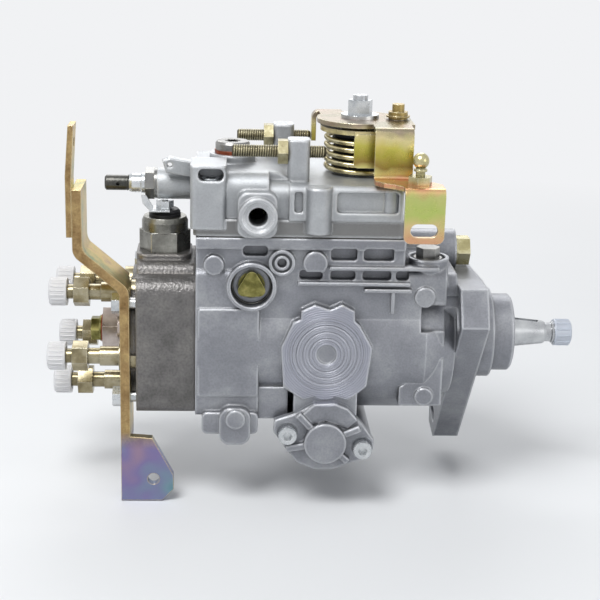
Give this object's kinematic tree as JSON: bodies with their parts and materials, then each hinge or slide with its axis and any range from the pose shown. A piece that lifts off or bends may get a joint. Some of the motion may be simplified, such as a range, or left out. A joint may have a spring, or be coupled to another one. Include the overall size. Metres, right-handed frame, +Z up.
{
  "type": "diesel injection pump",
  "caption": "Rotary distributor injection pump with rear outlets, stop solenoid, lever on its cover, side flange and tapered drive shaft.",
  "frame": {"origin": "middle of the mounting flange's front face, on the drive shaft's axis", "axes": "+X along the shaft towards the drive end, +Y away from the side with the machined pad, +Z up"},
  "size_m": [0.2886, 0.118, 0.2172],
  "materials": {
    "black_plastic": "matte",
    "black_rubber": "matte",
    "bracket_zinc": "gold chromate",
    "bright_steel": "ground",
    "bronze": "plain",
    "cast_aluminium": "satin",
    "copper": "copper",
    "dark_steel": "dark",
    "gasket": "matte",
    "head_steel": "rough",
    "lever_zinc": "gold chromate",
    "plastic_cap": "translucent",
    "solenoid_steel": "dull",
    "spring_wire": "tempered",
    "tinned_brass": "tinned",
    "yellow_zinc": "yellow chromate",
    "zinc_screws": "bright zinc"
  },
  "bodies": {
    "pump": {"pump_housing": "cast_aluminium", "governor_cover": "cast_aluminium", "cover_gasket": "gasket", "socket_screws": "zinc_screws", "hydraulic_head": "head_steel", "hex_bolts": "zinc_screws", "distributor_barrel": "bright_steel", "valve_holders": "yellow_zinc", "copper_washers": "copper", "outlet_caps": "plastic_cap", "delivery_valves": "bright_steel", "valve_springs": "bright_steel", "centre_plug": "yellow_zinc", "vent_bolt": "yellow_zinc", "solenoid_body": "solenoid_steel", "solenoid_boot": "gasket", "solenoid_terminal": "tinned_brass", "head_bracket": "bracket_zinc", "upper_strip": "bracket_zinc", "timing_covers": "cast_aluminium", "timing_spring": "bright_steel", "regulating_valve": "bright_steel", "inlet_plug": "yellow_zinc", "inspection_plug": "yellow_zinc", "return_plug": "yellow_zinc", "full_load_screw": "dark_steel", "tamper_collar": "zinc_screws", "stop_screws": "yellow_zinc", "lock_nuts": "yellow_zinc", "shaft_bush": "bronze", "shaft_seal": "black_rubber", "feed_rings": "bright_steel", "governor_shaft": "bright_steel", "plunger_springs": "bright_steel", "return_spring": "spring_wire"},
    "drive": {"drive_shaft": "bright_steel", "shaft_cap": "plastic_cap", "feed_rotor": "bright_steel", "drive_gear": "bright_steel", "cross_coupling": "bright_steel", "cam_plate": "bright_steel", "distributor_plunger": "bright_steel"},
    "governor_drive": {"governor_carrier": "bright_steel"},
    "flyweight_1": {"flyweight_1": "bright_steel"},
    "flyweight_2": {"flyweight_2": "bright_steel"},
    "flyweight_3": {"flyweight_3": "bright_steel"},
    "flyweight_4": {"flyweight_4": "bright_steel"},
    "sleeve": {"governor_sleeve": "bright_steel"},
    "levers": {"governor_lever": "lever_zinc", "governor_spring": "bright_steel"},
    "collar": {"control_collar": "bright_steel"},
    "throttle": {"throttle_lever": "lever_zinc", "lever_shaft": "bright_steel", "lever_nut": "zinc_screws", "ball_stud": "zinc_screws", "spring_bushing": "black_plastic"},
    "timing_piston": {"timing_piston": "bright_steel"},
    "timing_ring": {"roller_ring": "bright_steel", "rollers": "bright_steel"},
    "armature": {"solenoid_armature": "bright_steel"}
  },
  "joints": [
    {"name": "shaft_turn", "type": "hinge", "parent": "pump", "child": "drive", "pos_m": [0, 0, 0], "axis": [1, 0, 0], "continuous": true},
    {"name": "governor_turn", "type": "hinge", "parent": "pump", "child": "governor_drive", "pos_m": [0, 0, 0.04], "axis": [1, 0, 0], "continuous": true},
    {"name": "sleeve_slide", "type": "slide", "parent": "pump", "child": "sleeve", "axis": [-1, 0, 0], "range_m": [0, 0.0022]},
    {"name": "flyweight_1_swing", "type": "hinge", "parent": "governor_drive", "child": "flyweight_1", "pos_m": [-0.0645, 0, 0.0535], "axis": [0, 1, 0], "range_deg": [0, 18]},
    {"name": "flyweight_2_swing", "type": "hinge", "parent": "governor_drive", "child": "flyweight_2", "pos_m": [-0.0645, -0.0135, 0.04], "axis": [0, 0, 1], "range_deg": [0, 18]},
    {"name": "flyweight_3_swing", "type": "hinge", "parent": "governor_drive", "child": "flyweight_3", "pos_m": [-0.0645, 0, 0.0265], "axis": [0, -1, 0], "range_deg": [0, 18]},
    {"name": "flyweight_4_swing", "type": "hinge", "parent": "governor_drive", "child": "flyweight_4", "pos_m": [-0.0645, 0.0135, 0.04], "axis": [0, 0, -1], "range_deg": [0, 18]},
    {"name": "governor_lever_tilt", "type": "hinge", "parent": "pump", "child": "levers", "pos_m": [-0.1325, 0, 0.022], "axis": [0, -1, 0], "range_deg": [0, 7.2], "deforming": ["governor_spring"]},
    {"name": "collar_slide", "type": "slide", "parent": "pump", "child": "collar", "axis": [1, 0, 0], "range_m": [0, 0.0017]},
    {"name": "throttle_turn", "type": "hinge", "parent": "pump", "child": "throttle", "pos_m": [-0.068, 0, 0.1], "axis": [0, 0, -1], "range_deg": [0, 38], "stiffness_Nm_per_rad": 0.4, "springref_deg": -17.19},
    {"name": "timing_slide", "type": "slide", "parent": "pump", "child": "timing_piston", "axis": [0, 1, 0], "range_m": [0, 0.006], "stiffness_N_per_m": 3000, "springref_m": -0.002, "deforming": ["timing_spring"]},
    {"name": "roller_ring_turn", "type": "hinge", "parent": "pump", "child": "timing_ring", "pos_m": [0, 0, 0], "axis": [1, 0, 0], "range_deg": [0, 7.3]},
    {"name": "armature_lift", "type": "slide", "parent": "pump", "child": "armature", "axis": [0, 0, 1], "range_m": [0, 0.001]}
  ],
  "couplings": [
    {"joint": "governor_turn", "follows": "shaft_turn", "ratio": -1.5},
    {"joint": "flyweight_1_swing", "follows": "sleeve_slide", "rad_per_m": 133.33},
    {"joint": "flyweight_2_swing", "follows": "sleeve_slide", "rad_per_m": 133.33},
    {"joint": "flyweight_3_swing", "follows": "sleeve_slide", "rad_per_m": 133.33},
    {"joint": "flyweight_4_swing", "follows": "sleeve_slide", "rad_per_m": 133.33},
    {"joint": "governor_lever_tilt", "follows": "sleeve_slide", "rad_per_m": 55.556},
    {"joint": "collar_slide", "follows": "sleeve_slide", "ratio": 0.7222},
    {"joint": "roller_ring_turn", "follows": "timing_slide", "rad_per_m": 21.053}
  ]
}
